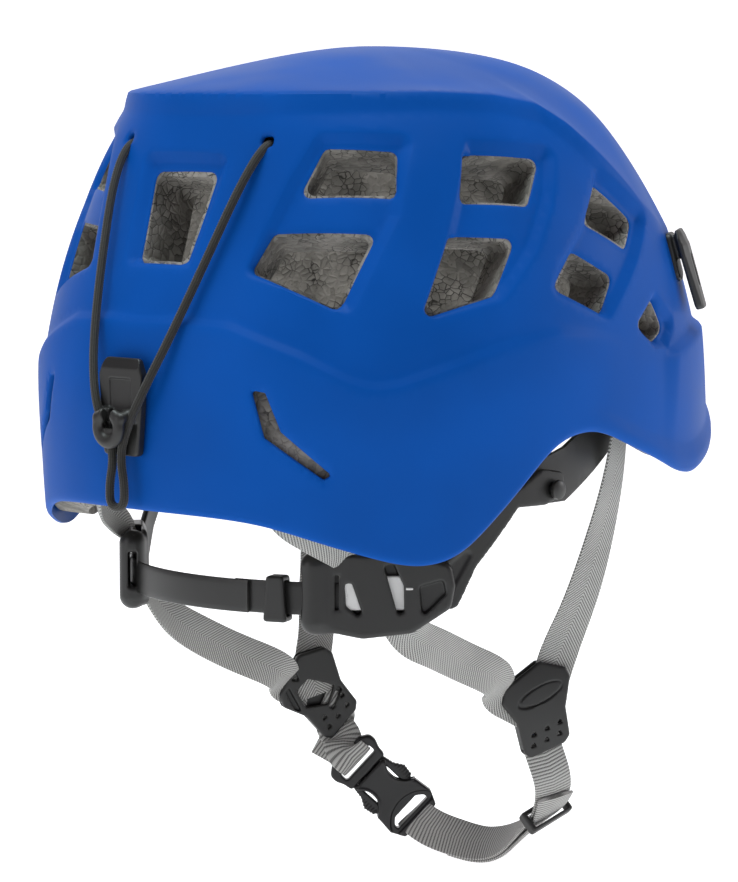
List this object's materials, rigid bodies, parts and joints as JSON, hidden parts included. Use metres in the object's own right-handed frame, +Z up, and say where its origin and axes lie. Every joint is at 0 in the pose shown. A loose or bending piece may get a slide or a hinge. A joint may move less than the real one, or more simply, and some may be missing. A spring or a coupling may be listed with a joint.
{
  "type": "climbing helmet",
  "caption": "Vented hard-shell climbing helmet with foam liner, folding nape cradle, webbing chin harness with side-release buckle and elastic head-torch retainer.",
  "frame": {"origin": "centre of the head opening, level with the brow band's lower edge", "axes": "+Z up through the crown, -Y towards the front of the helmet, -X towards the wearer's right"},
  "size_m": [0.225, 0.2837, 0.3236],
  "materials": {
    "shell": "satin moulded ABS, mid blue",
    "foam": "expanded bead foam, mottled grey",
    "padding": "brushed knit over foam, black",
    "webbing": "light grey herringbone polyester",
    "black_plastic": "moulded black nylon",
    "steel": "plain steel",
    "elastic": "braided black elastic"
  },
  "bodies": {
    "helmet": {"brow_pad": "padding", "buckle_male": "black_plastic", "chin_strap": "webbing", "chin_strap_short": "webbing", "chin_strap_tail": "webbing", "cord_knots": "elastic", "crown_liner": "foam", "crown_pad": "padding", "elastic_cord": "elastic", "front_anchor_left": "black_plastic", "front_anchor_right": "black_plastic", "front_clip_left": "black_plastic", "front_clip_right": "black_plastic", "front_rivet_left": "steel", "front_rivet_right": "steel", "front_strap_left": "webbing", "front_strap_right": "webbing", "headband": "black_plastic", "nape_pivot_left": "black_plastic", "nape_pivot_right": "black_plastic", "outer_shell": "shell", "rear_hook_plate": "black_plastic", "rear_strap_lower_left": "webbing", "rear_strap_lower_right": "webbing", "rear_strap_upper_left": "webbing", "rear_strap_upper_right": "webbing", "side_liner": "foam", "strap_divider_left": "black_plastic", "strap_divider_right": "black_plastic"},
    "nape": {"nape_arm_right": "black_plastic", "nape_arm_left": "black_plastic", "nape_adjuster_right": "black_plastic", "nape_adjuster_left": "black_plastic", "nape_band_right": "black_plastic", "nape_band_left": "black_plastic"},
    "nape_keeper": {"nape_keeper": "black_plastic"},
    "strap_keeper": {"strap_keeper": "black_plastic"},
    "buckle_arm_upper": {"buckle_arm_upper": "black_plastic"},
    "buckle_arm_lower": {"buckle_arm_lower": "black_plastic"},
    "buckle_female": {"buckle_female": "black_plastic"}
  },
  "joints": [
    {"name": "nape_fold", "type": "hinge", "parent": "helmet", "child": "nape", "pos_m": [0, 0.002, -0.012], "axis": [1, 0, 0], "range_deg": [0, 19], "deforming": ["rear_strap_upper_right", "rear_strap_upper_left", "rear_strap_lower_right", "rear_strap_lower_left"]},
    {"name": "nape_keeper_slide", "type": "hinge", "parent": "nape", "child": "nape_keeper", "pos_m": [0, -0.003, -0.049], "axis": [0, 0, 1], "range_deg": [-4, 3]},
    {"name": "buckle_release", "type": "slide", "parent": "helmet", "child": "buckle_female", "axis": [-0.5318, -0.5017, -0.6823], "range_m": [0, 0.025], "deforming": ["chin_strap", "chin_strap_tail"]},
    {"name": "buckle_arm_upper_flex", "type": "hinge", "parent": "helmet", "child": "buckle_arm_upper", "pos_m": [0.03624, -0.04561, -0.1356], "axis": [-0.7095, 0.7038, 0.0354], "range_deg": [-9, 0], "stiffness_Nm_per_rad": 0.02},
    {"name": "buckle_arm_lower_flex", "type": "hinge", "parent": "helmet", "child": "buckle_arm_lower", "pos_m": [0.04308, -0.03816, -0.14641], "axis": [-0.7095, 0.7038, 0.0354], "range_deg": [0, 9], "stiffness_Nm_per_rad": 0.02},
    {"name": "strap_keeper_slide", "type": "slide", "parent": "helmet", "child": "strap_keeper", "axis": [-0.7428, 0.3714, 0.5571], "range_m": [-0.003, 0.003]}
  ]
}
